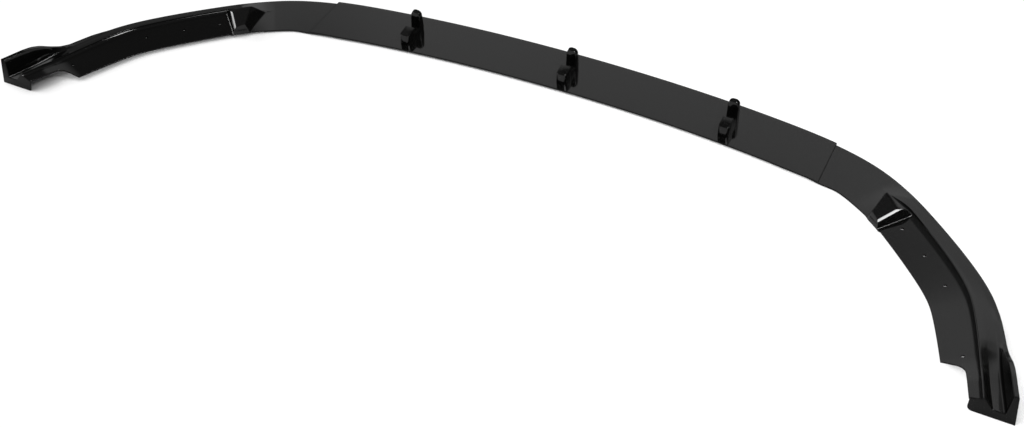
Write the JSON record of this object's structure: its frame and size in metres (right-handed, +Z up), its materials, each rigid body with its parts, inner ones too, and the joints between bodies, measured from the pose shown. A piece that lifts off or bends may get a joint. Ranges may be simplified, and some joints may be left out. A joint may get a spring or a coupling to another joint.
{
  "type": "front splitter lip",
  "caption": "Curved gloss black lip for the underside of a car's front bumper, in lapped sections with clips, stepped screw flanges and end winglets.",
  "frame": {"origin": "on the floor, under the middle of the lip's bounding box", "axes": "+X across the car to the lip's right-hand end, +Y towards the nose, +Z up"},
  "size_m": [1.8134, 0.561, 0.058],
  "materials": {
    "gloss_black": "high gloss",
    "screw_steel": "black"
  },
  "bodies": {
    "root": {"centre_section": "gloss_black", "left_section": "gloss_black", "right_section": "gloss_black", "joint_screws": "screw_steel"}
  },
  "joints": []
}
